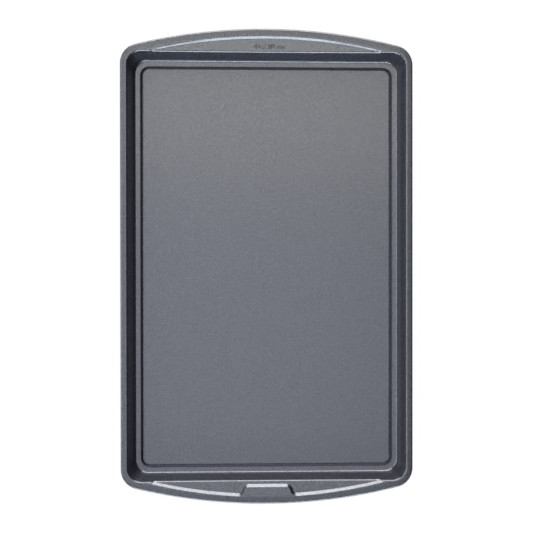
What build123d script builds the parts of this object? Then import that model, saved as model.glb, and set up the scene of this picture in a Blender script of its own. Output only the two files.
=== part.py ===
"""Jelly roll pan.

One steel sheet is pressed into a shallow tray with drafted walls and a raised floor panel. Its
flange widens into an arched handle at each end, pressed down in a crescent for the thumbs, and
its edge is rolled round a stiffening wire.

Millimetres, +Z up, +Y along the pan. The origin is under the middle of the pan, on the table.
Sizes of the pressed sheet are taken on its upper face, where flat faces would meet without
their bends.
"""
import os
from math import atan2, degrees, radians, tan

from build123d import *

sheet = 0.5

# Tray
height = 25.4
mouth_width = 279.6
mouth_length = 430.8
mouth_bend = 2.0
wall_run = 5.5
wall_corner = 13.5
base_bend = 2.0

# Raised panel of the floor, set out along the middle of its sloping edge
panel_margin = 7.2
panel_corner = 8.0
panel_rise = 1.8
panel_slope = 36.0
panel_bend = 2.5
panel_root = 1.5

# Flange and handles
flange_width = 7.0
handle_reach = 23.0
handle_arc = 554.0
rim_corner = 20.1

# Edge rolled round the wire: a little wider than high, and open by less than a quarter turn.
# The wire and the inside of the roll are hidden, so they have flats in place of a round.
wire_diameter = 2.4
wire_clearance = 0.1
wire_joint = 0.8
roll_width = 3.7
roll_turn = 300.0
flat_turn = 30.0

# Crescent in each handle, set out along the middle of its sloping edge
recess_margin = 8.5
recess_arc = 498.4
recess_depth = 1.6
recess_slope = 38.0
recess_bend = 1.2

# Tab left at flange height in the crescent of one handle
tab_reach = 10.0
tab_width = 45.2
tab_foot_width = 51.0
tab_corner = 3.0

# How far a meeting or cutting solid runs past the faces that it serves
overrun = 6.0

base_width = mouth_width - 2 * wall_run
base_length = mouth_length - 2 * wall_run
panel_width = base_width - 2 * panel_margin
panel_length = base_length - 2 * panel_margin
pan_width = mouth_width + 2 * flange_width
pan_length = mouth_length + 2 * handle_reach
wall_slope = degrees(atan2(height - sheet, wall_run))
recess_apex = pan_length / 2 - recess_margin
roll_inside = wire_diameter / 2 + wire_clearance
roll_outside = roll_inside + sheet
roll_level = height - roll_outside


def set_out(skin, slope):
    """How far a bend line moves along the flat when both its faces are grown by a skin."""
    return skin * tan(radians(slope / 2))


def half_run(rise, slope):
    """From the middle of a sloping edge to its top, along the flat."""
    return rise / tan(radians(slope)) / 2


def face_at(part, level):
    """The flat face of a part at a level."""
    return part.faces().filter_by(Axis.Z).sort_by(lambda face: abs(face.center().Z - level))[0]


def tray_space(skin, ledge):
    """The space in the tray and over a flat ledge round its mouth, grown by a skin.

    Below the sheet, where the skin isn't zero, the panel's shallow edge is left sharp.
    """
    growth = set_out(skin, wall_slope)
    panel_growth = half_run(panel_rise, panel_slope) - set_out(skin, panel_slope)
    mouth = Plane.XY.offset(height - skin)
    with BuildPart() as space:
        with BuildSketch(mouth):
            Rectangle(mouth_width + 2 * growth, mouth_length + 2 * growth)
        extrude(amount=sheet - height)
        draft(space.faces().filter_by(Axis.Z, reverse=True), mouth, wall_slope - 90)
        fillet(space.edges().filter_by(Plane.XY, reverse=True), wall_corner + skin)
        fillet(face_at(space.part, sheet - skin).edges(), base_bend + skin)

        with BuildSketch(Plane.XY.offset(sheet - skin)):
            RectangleRounded(
                panel_width + 2 * panel_growth, panel_length + 2 * panel_growth, panel_corner + panel_growth
            )
        extrude(amount=panel_rise, taper=90 - panel_slope, mode=Mode.SUBTRACT)
        if skin == 0:
            fillet(face_at(space.part, sheet + panel_rise).edges(), panel_bend)
            fillet(face_at(space.part, sheet).inner_wires()[0].edges(), panel_root)

        with BuildSketch(Plane.XY.offset(ledge - skin)):
            Rectangle(pan_width + overrun, pan_length + overrun)
        extrude(amount=height - ledge + skin + overrun)
        fillet(face_at(space.part, ledge - skin).inner_wires()[0].edges(), mouth_bend - skin)
    return space.part


def crescent(tabbed):
    """The pressed place in the +Y handle, from above, reaching in to the middle of the tray."""
    with BuildSketch() as face:
        with Locations((0, recess_apex - recess_arc)):
            Circle(recess_arc)
        Rectangle(
            mouth_width - 2 * wall_corner,
            pan_length,
            align=(Align.CENTER, Align.MIN),
            mode=Mode.INTERSECT,
        )
        if tabbed:
            tab_top = recess_apex - tab_reach
            flare = (tab_foot_width - tab_width) / 2 / tab_reach * (tab_reach + overrun)
            with BuildLine():
                Polyline(
                    (-tab_width / 2, tab_top),
                    (tab_width / 2, tab_top),
                    (tab_width / 2 + flare, recess_apex + overrun),
                    (-tab_width / 2 - flare, recess_apex + overrun),
                    close=True,
                )
            make_face(mode=Mode.SUBTRACT)
            tab_points = face.vertices().filter_by(lambda point: abs(point.X) < tab_foot_width)
            fillet(tab_points, tab_corner)
    return face.sketch


def recess_space(skin, tabbed):
    """The space over the crescent and inside its sloping edge, grown by a skin.

    It has no floor of its own: the ledge of the tray beside it is the floor of the crescent.
    Below the sheet, where the skin isn't zero, the brink is left sharp.
    """
    level = height - skin
    with BuildPart() as space:
        with BuildSketch(Plane.XY.offset(level)):
            add(crescent(tabbed))
            growth = half_run(recess_depth, recess_slope) + set_out(skin, recess_slope)
            offset(amount=growth, kind=Kind.INTERSECTION)
        extrude(amount=-recess_depth, taper=90 - recess_slope)
        extrude(face_at(space.part, level - recess_depth), amount=overrun)
        with BuildSketch(Plane.XY.offset(level)):
            Rectangle(pan_width, pan_length + overrun)
        extrude(amount=skin + overrun)
        if skin == 0:
            brink = face_at(space.part, level).inner_wires()[0].edges()
            fillet(brink.filter_by(lambda edge: edge.center().Y > mouth_length / 2), recess_bend)
    return space.part


def pressed_space(skin):
    """All the space over the pressed sheet, grown by a skin."""
    tray_at_recess = tray_space(skin, height - recess_depth)
    with BuildPart() as space:
        add(tray_space(skin, height))
        for tabbed, turn in ((False, 0), (True, 180)):
            add(tray_at_recess.intersect(recess_space(skin, tabbed)), rotation=(0, 0, turn))
    return space.part


def rim_outline(inset):
    """The pan from above, inside its outer edge by an inset."""
    with BuildSketch() as face:
        Rectangle(pan_width, 2 * pan_length)
        for side in (1, -1):
            with Locations((0, side * (pan_length / 2 - handle_arc))):
                Circle(handle_arc, mode=Mode.INTERSECT)
        fillet(face.vertices(), rim_corner)
        offset(amount=-inset)
    return face.sketch


def section_plane(path):
    """The plane square to a path at its start, with +X outwards and +Y up."""
    forward = path % 0
    return Plane(origin=path @ 0, x_dir=forward.cross(Vector(0, 0, 1)), z_dir=-forward)


flat_sheet = rim_outline(roll_width / 2)
roll_path = flat_sheet.wires()[0].moved(Location((0, 0, roll_level)))

with BuildPart() as pan_shell:
    add(pressed_space(sheet))
    add(pressed_space(0), mode=Mode.SUBTRACT)
    with BuildSketch():
        add(flat_sheet)
    extrude(amount=height, mode=Mode.INTERSECT)

    with BuildSketch(section_plane(roll_path)):
        with BuildLine():
            outside = EllipticalCenterArc(
                (0, 0), roll_width / 2, roll_outside, 90 - roll_turn, arc_size=roll_turn
            )
            inside = Polyline(
                *(
                    Vector(0, roll_inside).rotate(Axis.Z, -flat_turn * flat)
                    for flat in range(round(roll_turn / flat_turn) + 1)
                )
            )
            Line(outside @ 0, inside @ 1)
            Line(outside @ 1, inside @ 0)
        make_face()
    sweep(path=roll_path)

with BuildPart() as rim_wire:
    with BuildSketch(section_plane(roll_path)):
        RegularPolygon(wire_diameter / 2, round(360 / flat_turn))
    sweep(path=roll_path)
    with Locations((pan_width / 2, 0, roll_level)):
        Box(2 * roll_width, wire_joint, 2 * roll_width, mode=Mode.SUBTRACT)

pan_shell.part.label = "pan_shell"
rim_wire.part.label = "rim_wire"

os.makedirs("parts", exist_ok=True)
export_step(pan_shell.part, "parts/pan_shell.step")
export_step(rim_wire.part, "parts/rim_wire.step")
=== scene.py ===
"""The jelly roll pan in its non-stick finish, seen and lit as in the photograph.

Lengths are in millimetres as they are on the drawing of the pan, and turn to metres where
Blender takes them. Heights of the pressed sheet are those of its upper face.
"""
from math import asin, atan2, cos, degrees, pi, radians, sin, tan

import bpy
import numpy as np
from mathutils import Matrix, Vector


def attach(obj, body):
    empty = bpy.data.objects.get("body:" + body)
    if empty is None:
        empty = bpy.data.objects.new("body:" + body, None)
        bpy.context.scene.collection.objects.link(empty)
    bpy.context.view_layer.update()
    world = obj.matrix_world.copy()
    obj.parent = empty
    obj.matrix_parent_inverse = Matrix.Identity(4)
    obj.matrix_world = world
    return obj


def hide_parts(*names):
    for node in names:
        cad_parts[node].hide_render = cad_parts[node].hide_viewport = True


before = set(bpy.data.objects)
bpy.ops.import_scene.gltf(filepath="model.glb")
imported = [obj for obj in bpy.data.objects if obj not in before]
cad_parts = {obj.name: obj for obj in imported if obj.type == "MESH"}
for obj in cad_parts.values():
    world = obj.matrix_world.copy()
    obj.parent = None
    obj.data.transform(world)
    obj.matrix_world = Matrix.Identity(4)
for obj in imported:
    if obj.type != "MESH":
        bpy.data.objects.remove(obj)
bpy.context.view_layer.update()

mm = 0.001

# The pan. The crescents, the tab and the flange's tilt were measured again on the photograph, and
# the other sizes are those of the CAD model.
sheet = 0.5
height = 25.4
mouth_width = 279.6
mouth_length = 430.8
mouth_bend = 2.0
wall_run = 5.5
wall_corner = 13.5
base_bend = 2.0
panel_margin = 7.2
panel_corner = 8.0
panel_rise = 1.8
panel_slope = 36.0
panel_bend = 2.5
panel_root = 1.5
flange_width = 7.0
flange_tilt = 3.6
handle_reach = 23.0
handle_arc = 554.0
rim_corner = 20.1
wire_diameter = 2.4
wire_clearance = 0.1
roll_width = 3.7
roll_turn = 300.0
recess_margin = 8.5
recess_arc = 498.4
recess_end = 115.5
plain_recess_depth = 2.1
plain_tip_share = 0.5
tab_recess_depth = 2.4
tab_tip_share = 0.8
recess_slope = 38.0
recess_bend = 0.9
recess_root = 0.5
tab_reach = 10.0
tab_width = 46.4
tab_foot_width = 51.2
tab_corner = 4.4

pan_width = mouth_width + 2 * flange_width
pan_length = mouth_length + 2 * handle_reach
wall_slope = degrees(atan2(height - sheet, wall_run))
recess_apex = pan_length / 2 - recess_margin
recess_tip = (recess_arc**2 - (recess_arc - recess_apex + mouth_length / 2) ** 2) ** 0.5
roll_inside = wire_diameter / 2 + wire_clearance
roll_outside = roll_inside + sheet
roll_level = height - roll_outside
mouth_half = np.array([mouth_width, mouth_length]) / 2
base_half = mouth_half - wall_run
panel_half = base_half - panel_margin

# The mesh of the sheet: how close its points lie along the pan, and how many go across it
straight_spacing = 14.0
handle_spacing = 2.6
tip_spacing = 0.7
fine_before_tip = 8.0
fine_past_tip = 5.0
tab_spacing = 0.4
fine_round_tab = 5.0
corner_stations = 20
fine_run = 0.02
flat_step = 3.0
bend_step = 7.0
upper_counts = 34, 42
lower_counts = 22, 28
roll_points = 26
inner_roll_points = 14
lip_points = 3
panel_inset = 7.2
slope_step = 0.01
near_zero = 1e-5


def rounded_max(first, second, radius):
    """The larger of two distances, with the corner between them rounded."""
    corner = np.hypot(np.maximum(first + radius, 0), np.maximum(second + radius, 0))
    return np.minimum(-radius, np.maximum(first, second)) + corner


def set_out(skin, slope):
    """How far a bend line moves along the flat when both its faces are grown by a skin."""
    return skin * tan(radians(slope / 2))


def half_run(rise, slope):
    """From the middle of a sloping edge to its top, along the flat."""
    return rise / tan(radians(slope)) / 2


def crowned(run, top, slope, bend):
    """Height of a slope that meets a flat top where the run is 0, bent over its edge."""
    angle = radians(slope)
    reach = bend * tan(angle / 2)
    bent = top - bend + np.sqrt(bend**2 - np.clip(reach - run, 0, bend * sin(angle)) ** 2)
    return np.where(run > -reach * cos(angle), bent, top + run * tan(angle))


def dished(run, foot, slope, bend):
    """Height of a slope that leaves a flat foot where the run is 0, bent along its root."""
    return -crowned(-run, -foot, slope, bend)


def bent_step(run, foot, top, slope, root, bend):
    """Height over a slope between two flats, with its root and its edge bent."""
    width = (top - foot) / tan(radians(slope))
    rising = dished(run, foot, slope, root)
    return np.where(run < width / 2, rising, crowned(run - width, top, slope, bend))


def out_from_base(x, y):
    """Distance outward from the foot of the walls, where each level has the same corner."""
    along, across = abs(x) - base_half[0] + wall_corner, abs(y) - base_half[1] + wall_corner
    skew = np.minimum(abs(along - across), wall_corner)
    in_corner = (along + across - np.sqrt(2 * wall_corner**2 - skew**2)) / 2
    return np.where(skew < wall_corner, in_corner, np.maximum(along, across) - wall_corner)


def out_from_panel(x, y):
    """Distance outward from the middle of the panel's sloping edge."""
    along, across = abs(x) - panel_half[0], abs(y) - panel_half[1]
    return rounded_max(along, across, panel_corner)


def out_from_recess(x, y):
    """Distance outward from the middle of the crescent's sloping edge."""
    forward = abs(y)
    crescent = np.hypot(x, forward - recess_apex + recess_arc) - recess_arc
    tab_end = recess_apex - tab_reach - forward
    flare = atan2((tab_foot_width - tab_width) / 2, tab_reach)
    tab_side = (abs(x) - tab_width / 2) * cos(flare) + tab_end * sin(flare)
    off_tab = rounded_max(tab_end, tab_side, tab_corner)
    tabbed = rounded_max(crescent, -off_tab, tab_corner)
    return np.maximum(np.where(y < 0, tabbed, crescent), abs(x) - recess_end)


def tray_height(x, y, skin, ledge):
    """Height of the tray's floor, its walls and a flat ledge round its mouth."""
    run = out_from_base(x, y) - set_out(skin, wall_slope)
    bends = base_bend + skin, mouth_bend - skin
    return bent_step(run, sheet - skin, ledge - skin, wall_slope, *bends)


def panel_height(x, y, skin):
    """Height of the raised panel."""
    run = half_run(panel_rise, panel_slope) - set_out(skin, panel_slope) - out_from_panel(x, y)
    top = sheet + panel_rise - skin
    return bent_step(run, sheet - skin, top, panel_slope, panel_root + skin, panel_bend - skin)


def recess_depth(x, y):
    """Depth of a crescent, which is less toward its tips."""
    deepest = np.where(y < 0, tab_recess_depth, plain_recess_depth)
    tip_share = np.where(y < 0, tab_tip_share, plain_tip_share)
    return deepest * (1 - (1 - tip_share) * np.minimum(abs(x) / recess_tip, 1) ** 2)


def handle_height(x, y, skin):
    """Height of the handles, pressed down to a low ledge within their crescents."""
    depth = recess_depth(x, y)
    reach = half_run(depth, recess_slope) + set_out(skin, recess_slope)
    slope = crowned(out_from_recess(x, y) - reach, height - skin, recess_slope, recess_bend - skin)
    ledge = tray_height(x, y, skin, height - depth)
    blend = (recess_root + skin) * tan(radians(recess_slope / 2)) * tan(radians(recess_slope))
    overlap = np.maximum(blend - abs(slope - ledge), 0)
    return np.minimum(np.maximum(slope, ledge) + overlap**2 / (4 * blend), height - skin)


def flange_fall(x, y):
    """How far the flange has fallen, as it tilts down a little toward the rim."""
    past_end = np.hypot(x, abs(y) - pan_length / 2 + handle_arc) - handle_arc
    out_from_rim = rounded_max(abs(x) - pan_width / 2, past_end, rim_corner)
    return np.maximum(out_from_rim + flange_width, 0) * tan(radians(flange_tilt))


def sheet_height(x, y, skin):
    """Height of a face of the pressed sheet that lies a skin below its upper face."""
    tray = np.minimum(tray_height(x, y, skin, height), handle_height(x, y, skin))
    return np.maximum(tray, panel_height(x, y, skin)) - flange_fall(x, y)


def sheet_normal(x, y, skin):
    """The upward normal of that face."""
    across = sheet_height(x + slope_step, y, skin) - sheet_height(x - slope_step, y, skin)
    along = sheet_height(x, y + slope_step, skin) - sheet_height(x, y - slope_step, skin)
    normal = np.stack([-across, -along, np.full_like(across, 2 * slope_step)], axis=-1)
    return normal / np.linalg.norm(normal, axis=-1, keepdims=True)


def spaced(*stretches):
    """Places from 0 outward, at the spacing that each stretch has up to its end."""
    places, start = [], 0.0
    for end, spacing in stretches:
        count = max(1, round((end - start) / spacing))
        places += list(start + (end - start) * np.arange(count) / count)
        start = end
    return np.array(places)


def mirrored(places):
    """Places on both sides of 0, in order."""
    return np.concatenate([-places[:0:-1], places])


def stations():
    """Where the lines across the sheet start round the pan.

    Each station has a share, which places it on the rectangle between the corners' centres,
    and a direction, in which it leaves that rectangle.
    """
    end_half, side_half = mouth_half - wall_corner
    near_tip = (
        (recess_tip - fine_before_tip, handle_spacing),
        (recess_tip + fine_past_tip, tip_spacing),
        (end_half, handle_spacing),
    )
    near_tab = (
        (tab_width / 2 - fine_round_tab, handle_spacing),
        (tab_foot_width / 2 + fine_round_tab, tab_spacing),
    )
    plain_end = mirrored(spaced(*near_tip)) / end_half
    tab_end = mirrored(spaced(*near_tab, *near_tip)) / end_half
    side = mirrored(spaced((side_half, straight_spacing))) / side_half
    turn = np.arange(corner_stations + 1) / corner_stations * pi / 2
    shares, directions = [], []
    for quarter, edge in enumerate((side, plain_end, side, tab_end)):
        ahead = round(cos(quarter * pi / 2)), round(sin(quarter * pi / 2))
        left = -ahead[1], ahead[0]
        for share in edge:
            shares.append((ahead[0] + left[0] * share, ahead[1] + left[1] * share))
            directions.append(ahead)
        for angle in turn + quarter * pi / 2:
            shares.append((ahead[0] + left[0], ahead[1] + left[1]))
            directions.append((cos(angle), sin(angle)))
    return np.array(shares, float), np.array(directions)


def tray_ring(half, corner, shares, directions):
    """Points on a rectangle with rounded corners, one to a station."""
    return shares * (half - corner) + corner * directions


def rim_ring(inset, shares, directions):
    """Points on the pan's outline inside its edge by an inset, and the way out from them."""
    arc_centre = pan_length / 2 - handle_arc
    corner_x = pan_width / 2 - rim_corner
    lean = asin(corner_x / (handle_arc - rim_corner))
    corner_y = arc_centre + (handle_arc - rim_corner) * cos(lean)
    signs = np.where(abs(directions) > near_zero, np.sign(directions), np.sign(shares))
    share, direction = abs(shares), abs(directions)
    swing = np.arctan2(direction[:, 1], direction[:, 0]) * (1 - lean / (pi / 2))
    outward = np.stack([np.cos(swing), np.sin(swing)], axis=-1)
    points = np.stack([np.full(len(share), corner_x), share[:, 1] * corner_y], axis=-1)
    points += (rim_corner - inset) * outward
    on_arc = share[:, 0] < 1
    outward[on_arc, 0] = share[on_arc, 0] * sin(lean)
    outward[on_arc, 1] = np.sqrt(1 - outward[on_arc, 0] ** 2)
    points[on_arc] = (handle_arc - inset) * outward[on_arc] + [0, arc_centre]
    return points * signs, outward * signs


def along_route(route, runs):
    """Points at given runs along each station's route of plan points."""
    points = np.empty(runs.shape + (2,))
    for station, way in enumerate(route):
        marks = np.concatenate([[0], np.cumsum(np.hypot(*np.diff(way, axis=0).T))])
        for axis in range(2):
            points[station, :, axis] = np.interp(runs[station], marks, way[:, axis])
    return points


def crossing(route, count, skin):
    """Points and normals on lines across the sheet, closer together where it bends."""
    lengths = np.hypot(*np.moveaxis(np.diff(route, axis=1), 2, 0)).sum(axis=1)
    fine = np.linspace(0, 1, int(lengths.max() / fine_run))
    runs = lengths[:, None] * fine
    plan = along_route(route, runs)
    levels = sheet_height(plan[..., 0], plan[..., 1], skin)
    steps, rises = np.diff(runs, axis=1), np.diff(levels, axis=1)
    tilt = np.degrees(np.arctan2(rises, steps))
    turning = np.abs(np.diff(tilt, axis=1, prepend=tilt[:, :1]))
    weight = np.cumsum(np.hypot(steps, rises) / flat_step + turning / bend_step, axis=1)
    chosen = np.empty((len(route), count))
    for station, worth in enumerate(weight):
        marks = np.concatenate([[0], worth / worth[-1]])
        chosen[station] = np.interp(np.linspace(0, 1, count), marks, runs[station])
    plan = along_route(route, chosen)
    x, y = plan[..., 0], plan[..., 1]
    points = np.concatenate([plan, sheet_height(x, y, skin)[..., None]], axis=-1)
    return points, sheet_normal(x, y, skin)


def round_roll(centres, outward, across, up, first_turn, last_turn, count):
    """Points and normals round an oval in the roll, turned back from its top by degrees."""
    points, normals = [], []
    for turn in np.radians(90 - np.linspace(first_turn, last_turn, count)):
        reach = np.array([across * cos(turn), up * sin(turn)])
        facing = np.array([cos(turn) / across, sin(turn) / up])
        facing /= np.linalg.norm(facing)
        for place, values in ((reach, points), (facing, normals)):
            level = np.full((len(centres), 1), place[1])
            values.append(np.concatenate([outward * place[0], level], axis=-1))
        points[-1] = points[-1] + centres
    return np.stack(points, axis=1), np.stack(normals, axis=1)


def rolled_lip(outer, inner, outer_normal):
    """Points and normals round the edge of the sheet, from the roll's outside to its inside."""
    middle, arm = (outer + inner) / 2, (outer - inner) / 2
    reach = np.linalg.norm(arm, axis=-1, keepdims=True)
    tangent = np.cross(np.array([0, 0, 1.0]), outer_normal)
    ahead = np.cross(outer_normal, tangent / np.linalg.norm(tangent, axis=-1, keepdims=True))
    normals = [
        arm / reach * cos(turn) + ahead * sin(turn)
        for turn in np.arange(1, lip_points + 1) * pi / (lip_points + 1)
    ]
    points = [middle + reach * normal for normal in normals]
    return np.stack(points, axis=1), np.stack(normals, axis=1)


def closed_mesh(name, points, normals):
    """A mesh from rings of points that go round the pan, closed flat at its first and last."""
    around, across = points.shape[:2]
    index = np.arange(around * across).reshape(around, across)
    ahead = np.roll(index, -1, axis=0)
    quads = np.stack([index[:, :-1], index[:, 1:], ahead[:, 1:], ahead[:, :-1]], axis=-1)
    faces = quads.reshape(-1, 4).tolist() + [index[:, 0].tolist(), index[::-1, -1].tolist()]
    mesh = bpy.data.meshes.new(name)
    mesh.from_pydata((points.reshape(-1, 3) * mm).tolist(), [], faces)
    mesh.update()
    mesh.shade_smooth()
    mesh.normals_split_custom_set_from_vertices(normals.reshape(-1, 3).tolist())
    piece = bpy.data.objects.new(name, mesh)
    bpy.context.collection.objects.link(piece)
    return piece


def pressed_sheet():
    """The pan's sheet: its upper face, the roll round the rim and the face below."""
    places = stations()
    panel_flat = panel_half - panel_inset
    flat_corner = panel_corner + panel_bend
    middle_half = (mouth_half + base_half) / 2
    panel = tray_ring(panel_flat, flat_corner, *places)
    base = tray_ring(base_half, wall_corner, *places)
    middle = tray_ring(middle_half, wall_corner, *places)
    mouth = tray_ring(mouth_half, wall_corner, *places)
    rim, outward = rim_ring(roll_width / 2, *places)
    floor_route, rim_route = np.stack([panel, base, middle], 1), np.stack([middle, mouth, rim], 1)

    upper = zip((floor_route, rim_route), upper_counts)
    parts = [crossing(route, count, 0) for route, count in upper]
    core = np.column_stack([rim, roll_level - flange_fall(*rim.T)])
    turns = flange_tilt, roll_turn
    parts.append(round_roll(core, outward, roll_width / 2, roll_outside, *turns, roll_points))
    inner = round_roll(core, outward, roll_inside, roll_inside, *turns[::-1], inner_roll_points)
    parts.append(rolled_lip(parts[-1][0][:, -1], inner[0][:, 0], parts[-1][1][:, -1]))
    parts.append((inner[0], -inner[1]))
    for route, count in zip((rim_route, floor_route), lower_counts[::-1]):
        points, normals = crossing(route, count, sheet)
        parts.append((points[:, ::-1], -normals[:, ::-1]))

    # A part that starts on the last ring of the one before leaves that ring out
    whole, past_first = slice(None), slice(1, None)
    kept = whole, past_first, past_first, whole, whole, past_first, past_first
    points = np.concatenate([part[0][:, keep] for part, keep in zip(parts, kept)], axis=1)
    normals = np.concatenate([part[1][:, keep] for part, keep in zip(parts, kept)], axis=1)
    return closed_mesh("pressed_sheet", points, normals)


# Camera: where its eye is over the pan, and by how many degrees it is turned from straight down
eye = Vector((-27.4, -15.7, 1200.0 + height)) * mm
camera_yaw = 2.534
camera_pitch = 0.511
camera_roll = 0.055
picture_pixels = 533
focal_pixels = 1196.7
frame_shift = -0.0495, 0.0497


def add_camera():
    """The photograph's camera, nearly straight above the pan."""
    camera = bpy.data.cameras.new("camera")
    camera.lens = camera.sensor_width * focal_pixels / picture_pixels
    camera.shift_x, camera.shift_y = frame_shift
    view = bpy.data.objects.new("camera", camera)
    turned = (
        Matrix.Rotation(radians(camera_roll), 3, "Z")
        @ Matrix.Rotation(radians(camera_pitch), 3, "X")
        @ Matrix.Rotation(radians(camera_yaw), 3, "Y")
    )
    view.matrix_world = Matrix.Translation(eye) @ turned.transposed().to_4x4()
    bpy.context.collection.objects.link(view)
    bpy.context.scene.camera = view


def linear(colour):
    """An sRGB hex value as the linear colour that Blender takes."""
    values = [int(colour[place : place + 2], 16) / 255 for place in (1, 3, 5)]
    return [v / 12.92 if v <= 0.04045 else ((v + 0.055) / 1.055) ** 2.4 for v in values] + [1.0]


def add_node(nodes, kind, links=(), **settings):
    """A node with its settings, and with its inputs fed by values or by other nodes."""
    node = nodes.nodes.new(kind)
    for name, value in settings.items():
        setattr(node, name, value)
    for socket, source in dict(links).items():
        if isinstance(source, bpy.types.NodeSocket):
            nodes.links.new(source, node.inputs[socket])
        else:
            node.inputs[socket].default_value = source
    return node


def new_material(name):
    """An empty material and its nodes."""
    material = bpy.data.materials.new(name)
    material.use_nodes = True
    material.node_tree.nodes.clear()
    return material, material.node_tree


def grain(nodes, size):
    """Noise in the metal's own space, with features of a size in millimetres."""
    place = add_node(nodes, "ShaderNodeTexCoord").outputs["Object"]
    inputs = {"Vector": place, "Scale": 1 / (size * mm)}
    return add_node(nodes, "ShaderNodeTexNoise", inputs).outputs["Fac"]


def non_stick_coating():
    """Reinforced PTFE coating, sprayed on steel and baked: dark grey with a fine metallic flake.

    The flakes give a soft glitter and a fairly sharp sheen, the binder between them gives a broad
    one, and an orange peel breaks reflections up. Real flakes are some hundredths of a millimetre
    and too fine to show, so both sizes below are as coarse as they need to be.
    """
    flake_size = 0.6
    sheen_size = 0.3
    peel_height = 0.05
    material, nodes = new_material("non_stick_coating")
    flake = grain(nodes, flake_size)
    gloss = add_node(
        nodes,
        "ShaderNodeMapRange",
        {
            "Value": grain(nodes, sheen_size),
            "From Min": 0.48,
            "From Max": 0.56,
            "To Min": 0.21,
            "To Max": 0.5,
        },
    )
    tint = add_node(nodes, "ShaderNodeValToRGB", {"Fac": flake})
    binder, metal = tint.color_ramp.elements
    binder.position, metal.position = 0.32, 0.68
    binder.color, metal.color = linear("#4d4f58"), linear("#9598a8")
    peel = add_node(
        nodes,
        "ShaderNodeBump",
        {"Height": flake, "Strength": 0.04, "Distance": peel_height * mm},
    )
    shader = add_node(
        nodes,
        "ShaderNodeBsdfPrincipled",
        {
            "Base Color": tint.outputs["Color"],
            "Metallic": 1.0,
            "Roughness": gloss.outputs["Result"],
            "Normal": peel.outputs["Normal"],
        },
    )
    add_node(nodes, "ShaderNodeOutputMaterial", {"Surface": shader.outputs["BSDF"]})
    return material


def drawn_wire():
    """Bright steel wire, drawn through a die, which leaves fine lines and an even sheen.

    The lines are too fine to show, so they are drawn as a mottle of a coarser size.
    """
    mottle_size = 0.4
    material, nodes = new_material("drawn_wire")
    tint = add_node(nodes, "ShaderNodeValToRGB", {"Fac": grain(nodes, mottle_size)})
    dark, bright = tint.color_ramp.elements
    dark.color, bright.color = linear("#8d8b88"), linear("#b3b1ae")
    shader = add_node(
        nodes,
        "ShaderNodeBsdfPrincipled",
        {"Base Color": tint.outputs["Color"], "Metallic": 1.0, "Roughness": 0.35},
    )
    add_node(nodes, "ShaderNodeOutputMaterial", {"Surface": shader.outputs["BSDF"]})
    return material


def white_paper():
    """White studio paper, which looks white to the camera, in reflections and through glass.

    A small share of it is plain matt paper, which keeps a faint shadow of the pan.
    """
    glow_share = 0.95
    glow_strength = 1.02
    material, nodes = new_material("white_paper")
    ray = add_node(nodes, "ShaderNodeLightPath").outputs
    seen = add_node(
        nodes, "ShaderNodeMath", {0: ray["Is Camera Ray"], 1: ray["Is Glossy Ray"]}, operation="ADD"
    )
    seen = add_node(
        nodes,
        "ShaderNodeMath",
        {0: seen.outputs[0], 1: ray["Is Transmission Ray"]},
        operation="ADD",
        use_clamp=True,
    )
    inputs = {0: seen.outputs[0], 1: glow_share}
    share = add_node(nodes, "ShaderNodeMath", inputs, operation="MULTIPLY")
    paper = add_node(nodes, "ShaderNodeBsdfDiffuse", {"Color": linear("#f2f2f2")})
    inputs = {"Color": linear("#ffffff"), "Strength": glow_strength}
    glow = add_node(nodes, "ShaderNodeEmission", inputs)
    surface = add_node(
        nodes,
        "ShaderNodeMixShader",
        {0: share.outputs[0], 1: paper.outputs[0], 2: glow.outputs[0]},
    )
    add_node(nodes, "ShaderNodeOutputMaterial", {"Surface": surface.outputs[0]})
    return material


def add_floor():
    """The paper floor, flat and wide enough to fill the view from the sides as well."""
    reach = 60.0
    mesh = bpy.data.meshes.new("floor")
    corners = [(-reach, -reach, 0), (reach, -reach, 0), (reach, reach, 0), (-reach, reach, 0)]
    mesh.from_pydata(corners, [], [(0, 1, 2, 3)])
    mesh.materials.append(white_paper())
    floor = bpy.data.objects.new("floor", mesh)
    bpy.context.collection.objects.link(floor)


def add_softbox(name, place, size, turn, radiance, colour):
    """A soft box at a place in metres, of a size across and along, turned from facing down.

    Cycles gives an area lamp the radiance of its power over four times its area.
    """
    lamp = bpy.data.lights.new(name, "AREA")
    lamp.shape = "RECTANGLE"
    lamp.size, lamp.size_y = size
    lamp.energy = 4 * radiance * size[0] * size[1]
    lamp.color = linear(colour)[:3]
    box = bpy.data.objects.new(name, lamp)
    box.location = place
    box.rotation_euler = [radians(angle) for angle in turn]
    box.visible_camera = False
    bpy.context.collection.objects.link(box)


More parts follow.
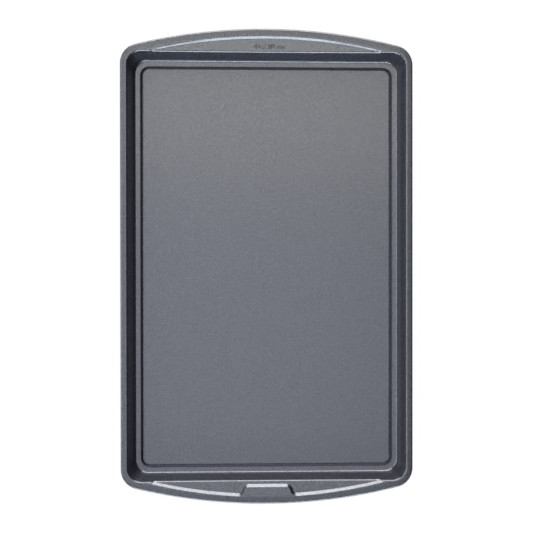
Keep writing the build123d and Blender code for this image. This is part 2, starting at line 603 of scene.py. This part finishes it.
def add_lights():
    """Soft boxes overhead and on the left, and tall ones beyond both ends of the pan."""
    down, from_plain, from_tab, from_left = (0, 0, 0), (-90, 0, 0), (90, 0, 0), (0, -90, 0)
    add_softbox("overhead", (0.0275, -0.265, 2.0), (1.125, 1.13), down, 0.79, "#fffff9")
    add_softbox("overhead_plain_end", (0.0275, 0.6, 2.0), (1.125, 0.6), down, 1.31, "#fffce6")
    add_softbox("near_left", (-0.87, 0.0, 2.0), (0.67, 2.4), down, 0.28, "#eaebff")
    add_softbox("high_left", (-1.55, 0.0, 2.0), (0.7, 2.4), down, 1.94, "#fdffec")
    add_softbox("left", (-1.9, 0.0, 1.25), (0.7, 2.4), from_left, 1.94, "#fdffec")
    add_softbox("low_beyond_tab", (-0.1, -1.9, 0.7), (2.0, 0.9), from_tab, 5.09, "#f6fff5")
    add_softbox("high_beyond_tab", (-0.1, -1.9, 1.575), (2.0, 0.85), from_tab, 0.65, "#fffbe7")
    add_softbox("low_beyond_plain", (-0.1, 1.9, 0.6), (2.0, 0.8), from_plain, 3.87, "#fffbe5")
    add_softbox("high_beyond_plain", (-0.1, 1.9, 1.5), (2.0, 1.0), from_plain, 3.84, "#fff8ee")
    world = bpy.data.worlds.new("studio")
    bpy.context.scene.world = world
    world.use_nodes = True
    world.node_tree.nodes.clear()
    air = add_node(world.node_tree, "ShaderNodeBackground", {"Color": linear("#303236")})
    add_node(world.node_tree, "ShaderNodeOutputWorld", {"Surface": air.outputs[0]})


# Size pressed into the plain crescent: plain numbers, where such pans carry them
mark_text = "43 x 28 cm"
mark_place = 2.2, 220.6
mark_width = 31.0
mark_letter_size = 6.4
mark_slope = 29.0
mark_side = 0.45
mark_thinning = 0.12


def size_mark(coating):
    """The pan's size, raised from the floor of the plain crescent in ridges with sloping sides.

    The letters are set at about their size, and then stretched to the mark's width.
    """
    text = bpy.data.curves.new("size_mark", "FONT")
    text.body = mark_text
    text.align_x, text.align_y = "CENTER", "CENTER"
    text.offset = -mark_thinning * mm
    text.bevel_depth = mark_side * mm
    text.bevel_resolution = 0
    text.size = mark_letter_size * mm
    lettering = bpy.data.objects.new("size_mark_text", text)
    bpy.context.collection.objects.link(lettering)
    bpy.context.view_layer.update()
    text.size *= mark_width * mm / lettering.dimensions.x
    bpy.context.view_layer.update()
    mesh = bpy.data.meshes.new_from_object(lettering)
    mesh.transform(Matrix.Diagonal((1, 1, tan(radians(mark_slope)), 1)))
    bpy.data.objects.remove(lettering)
    mark = bpy.data.objects.new("size_mark", mesh)
    mark.location = Vector((*mark_place, height - plain_recess_depth)) * mm
    mesh.materials.clear()
    mesh.materials.append(coating)
    bpy.context.collection.objects.link(mark)
    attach(mark, "root")


def main():
    """Dress the solids and set them in the studio."""
    bpy.context.scene.view_settings.view_transform = "Standard"
    add_camera()
    add_lights()
    add_floor()
    coating = non_stick_coating()
    pan = pressed_sheet()
    pan.data.materials.append(coating)
    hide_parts("pan_shell")
    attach(pan, "root")
    size_mark(coating)
    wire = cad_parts["rim_wire"]
    wire.data.materials.clear()
    wire.data.materials.append(drawn_wire())


main()
